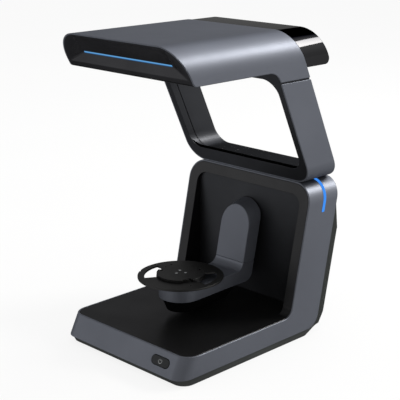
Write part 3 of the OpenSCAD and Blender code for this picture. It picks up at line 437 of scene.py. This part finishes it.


# The slot behind the lower lip of the hoop's front frame, with a black strip in it as painted
# shade for the shadow in the gap, in millimetres
HOOP_FOOT = (103.05, 246.0)        # the hoop's front plane passes through this y and z
HOOP_LEAN = math.tan(math.radians(25))
WINDOW_HALF = 117.5
WINDOW_FLOOR = 269.6
WINDOW_R = 20.0
SLOT_START = 1.2                   # depth behind the frame's face
SLOT_WIDTH = 12.5
SLOT_TIP = 0.06                    # share of the width at its pointed end
SLOT_PROUD = 0.12
SLOT_SUNK = 0.3
SLOT_LEFT = (205, 270, 18)         # degrees from and to, and steps, round the left corner
SLOT_RIGHT = (270, 300, 8)         # and round the right one


def hoop_point(x, z, depth):
    return x, HOOP_FOOT[0] - (z - HOOP_FOOT[1]) * HOOP_LEAN + depth, z


def make_painted_slot_shade():
    """A thin black strip of painted shade along the window's floor, standing in for the shadow in
    the gap behind the lip; it rises to a point on the left.
    """
    corner_x = WINDOW_HALF - WINDOW_R
    corner_z = WINDOW_FLOOR + WINDOW_R
    left = list(arc((-corner_x, corner_z), WINDOW_R, *SLOT_LEFT))
    right = list(arc((corner_x, corner_z), WINDOW_R, *SLOT_RIGHT))
    sections = []
    for i, ((x, z), way) in enumerate(left + right):
        near = SLOT_START
        far = SLOT_START + SLOT_WIDTH * min(1.0, SLOT_TIP + i / len(left))
        corners = (-SLOT_PROUD, near), (-SLOT_PROUD, far), (SLOT_SUNK, far), (SLOT_SUNK, near)
        sections.append([hoop_point(x + way[0] * out, z + way[1] * out, depth)
                         for out, depth in corners])
    lofted("hoop_slot_painted_shade", sections, SLOT_SHADE_FINISH, "chassis")


# The power mark on the button's face, in millimetres
MARK_R = 3.2
MARK_LINE = 0.5
MARK_PROUD = 0.1
MARK_SUNK = 0.2
MARK_ARC = (130, 410, 32)          # degrees from and to, and steps
MARK_BAR = (0.9, MARK_R + 0.5)     # heights from and to, above the ring's middle
PRESS_SLANT = math.radians(27)
FACE_DEPTH = 0.05                  # points this near the outermost one are the face's


def make_power_mark():
    """An open ring and a bar, set a little into the face so that they move with it."""
    out = Vector((0, -math.cos(PRESS_SLANT), math.sin(PRESS_SLANT)))
    up = Vector((0, math.sin(PRESS_SLANT), math.cos(PRESS_SLANT)))
    points = [vertex.co / MM for vertex in nodes["power_button"].data.vertices]
    face = max(point.dot(out) for point in points)
    rim = [point for point in points if point.dot(out) > face - FACE_DEPTH]
    centre = sum(rim, Vector()) / len(rim)
    centre += out * (face - centre.dot(out))
    half = MARK_LINE / 2
    corners = (-half, MARK_PROUD), (half, MARK_PROUD), (half, -MARK_SUNK), (-half, -MARK_SUNK)

    def line(name, path):
        sections = []
        for (x, y), way in path:
            sections.append([centre + Vector((x + way[0] * aside, 0, 0))
                             + up * (y + way[1] * aside) + out * height
                             for aside, height in corners])
        lofted(name, sections, SYMBOL_FINISH, "button")

    line("power_mark_ring", list(arc((0, 0), MARK_R, *MARK_ARC)))
    line("power_mark_bar", [((0, height), (1, 0)) for height in MARK_BAR])


# the black strip of painted shade in the hoop's slot, then the printed power mark
make_painted_slot_shade()
make_power_mark()


# ---------------------------------------------------------------- stage and light

FLOOR_HALF = 12        # metres from its middle to its edge
FLOOR_CLOUD = (3, 2)   # scale and detail of its noise
FLOOR_GREYS = ((0.8, 0.8, 0.8, 1), (0.82, 0.82, 0.82, 1))
FLOOR_GLOW = 0.85      # share of the floor that stays white in the object's shadow
FLOOR_GLOSS = 0.66     # what a gloss mirrors of the floor
FLOOR_DIM = 0.4        # how much of that it keeps in front of the base's right corner
FLOOR_FAR = 0.42       # and what it gains far off, to the right and behind
TO_RIGHT = ((1, 0, 0), 0.0, 0.2)           # an axis, and where a change starts and ends on it
TO_BACK = ((0, 1, 0), -0.25, 0.02)
TO_FAR = ((0.5, 0.87, 0), 0.2, 2.5)
WORLD_GLOSS = 0.5      # what a gloss mirrors of the studio's walls
WALLS = (              # brighter or dimmer parts of them: axis, where it starts and ends, level
    ((-0.1, 0.75, 0.65), 0.55, 0.95, 2.2),
    ((-0.2, -0.35, 0.92), 0.62, 0.9, 0.4),
    ((0.7, 0.7, 0.1), 0.5, 0.95, 1.9),
    ((0.9, -0.35, 0), 0.3, 1.0, 0.45),
)
WORLD_DIFFUSE = 0.8    # how strongly the studio lights matt surfaces

AT_HEAD = (0.12, 0, 0.46)
AT_BASE = (0, 0, 0.2)
LAMPS = (              # name, aim, azimuth, elevation, distance, size, radiance, tint
    ("key", AT_HEAD, 66, 32, 2.6, (0.8, 0.5), 40, (1.0, 0.98, 0.93)),
    ("glow", AT_HEAD, 96, 46, 2.6, (2.0, 1.2), 1.6, (1, 1, 1)),
    ("left", AT_BASE, -133, 11, 2.4, (1.4, 0.5), 1.2, (1, 1, 1)),
)


class Stage:
    """Short calls for the node trees of the floor and the studio around it."""

    def __init__(self, tree):
        self.tree = tree

    def math(self, kind, first, second):
        node = self.tree.nodes.new("ShaderNodeMath")
        node.operation = kind
        for socket, value in zip(node.inputs, (first, second)):
            if isinstance(value, float):
                socket.default_value = value
            else:
                self.tree.links.new(value, socket)
        return node.outputs[0]

    def towards(self, place, axis, start, end, low, high):
        """low before start and high past end, along an axis of the place."""
        dot = self.tree.nodes.new("ShaderNodeVectorMath")
        dot.operation = "DOT_PRODUCT"
        self.tree.links.new(place, dot.inputs[0])
        dot.inputs[1].default_value = Vector(axis).normalized()
        span = self.tree.nodes.new("ShaderNodeMapRange")
        span.interpolation_type = "SMOOTHSTEP"
        span.inputs["From Min"].default_value = start
        span.inputs["From Max"].default_value = end
        span.inputs["To Min"].default_value = low
        span.inputs["To Max"].default_value = high
        self.tree.links.new(dot.outputs["Value"], span.inputs["Value"])
        return span.outputs["Result"]

    def by_ray(self, camera, gloss, other):
        """One level for what the camera sees, one for what a gloss mirrors, one for the rest."""
        path = self.tree.nodes.new("ShaderNodeLightPath")
        mirrored = self.math("MAXIMUM", path.outputs["Is Glossy Ray"],
                             path.outputs["Is Transmission Ray"])
        seen = path.outputs["Is Camera Ray"]
        rest = self.math("SUBTRACT", 1.0, self.math("MAXIMUM", mirrored, seen))
        parts = [self.math("MULTIPLY", flag, level)
                 for flag, level in ((seen, camera), (mirrored, gloss), (rest, other))]
        return self.math("ADD", self.math("ADD", parts[0], parts[1]), parts[2])


def floor_material():
    """Pale and matt, white to the camera, and dimmer in a gloss before the right corner."""
    shader = Shader("floor").set(Roughness=0.9, Specular_IOR_Level=0.0)
    shader.colour(shader.noise(*FLOOR_CLOUD), *FLOOR_GREYS)
    stage = Stage(shader.tree)
    right = stage.towards(shader.place, *TO_RIGHT, 0.0, 1.0 - FLOOR_DIM)
    front = stage.towards(shader.place, *TO_BACK, FLOOR_GLOSS, 0.0)
    near = stage.math("SUBTRACT", FLOOR_GLOSS, stage.math("MULTIPLY", right, front))
    far = stage.towards(shader.place, *TO_FAR, 0.0, FLOOR_FAR)
    glow = shader.add("ShaderNodeEmission", Color=WHITE)
    shader.join(stage.by_ray(1.0, stage.math("ADD", near, far), 1.0), glow, "Strength")
    mix = shader.add("ShaderNodeMixShader")
    shader.join(stage.by_ray(FLOOR_GLOW, 1.0, 0.0), mix, "Fac")
    shader.tree.links.new(shader.surface.outputs["BSDF"], mix.inputs[1])
    shader.tree.links.new(glow.outputs["Emission"], mix.inputs[2])
    shader.join(mix.outputs["Shader"], shader.tree.nodes["Material Output"], "Surface")
    return shader.material


def make_floor():
    """A pale floor that shows white and keeps the object's shadow."""
    mesh = bpy.data.meshes.new("floor")
    sheet = bmesh.new()
    bmesh.ops.create_grid(sheet, x_segments=1, y_segments=1, size=FLOOR_HALF)
    sheet.to_mesh(mesh)
    sheet.free()
    mesh.materials.append(floor_material())
    floor = bpy.data.objects.new("floor", mesh)
    bpy.context.scene.collection.objects.link(floor)


def make_world():
    """White behind the object; in a gloss it is brightest to the right and overhead."""
    world = bpy.data.worlds.new("studio")
    bpy.context.scene.world = world
    world.use_nodes = True
    tree = world.node_tree
    background = tree.nodes["Background"]
    background.inputs["Color"].default_value = WHITE
    way = tree.nodes.new("ShaderNodeTexCoord").outputs["Generated"]
    stage = Stage(tree)
    gloss = WORLD_GLOSS
    for axis, start, end, level in WALLS:
        gloss = stage.math("MULTIPLY", stage.towards(way, axis, start, end, 1.0, level), gloss)
    tree.links.new(stage.by_ray(1.0, gloss, WORLD_DIFFUSE), background.inputs["Strength"])


def softbox(name, aim, azimuth, elevation, distance, size, radiance, tint):
    """A soft lamp in a direction from the point that it aims at, as bright as radiance."""
    az, el = math.radians(azimuth), math.radians(elevation)
    way = Vector((math.cos(el) * math.cos(az), math.cos(el) * math.sin(az), math.sin(el)))
    data = bpy.data.lights.new(name, "AREA")
    data.shape = "RECTANGLE"
    data.size, data.size_y = size
    data.energy = radiance * math.pi * size[0] * size[1]
    data.color = tint
    light = bpy.data.objects.new(name, data)
    light.location = Vector(aim) + distance * way
    light.rotation_euler = (-way).to_track_quat("-Z", "Y").to_euler()
    bpy.context.scene.collection.objects.link(light)


make_floor()
make_world()
for lamp in LAMPS:
    softbox(*lamp)

view = bpy.context.scene.view_settings
view.view_transform = "Standard"
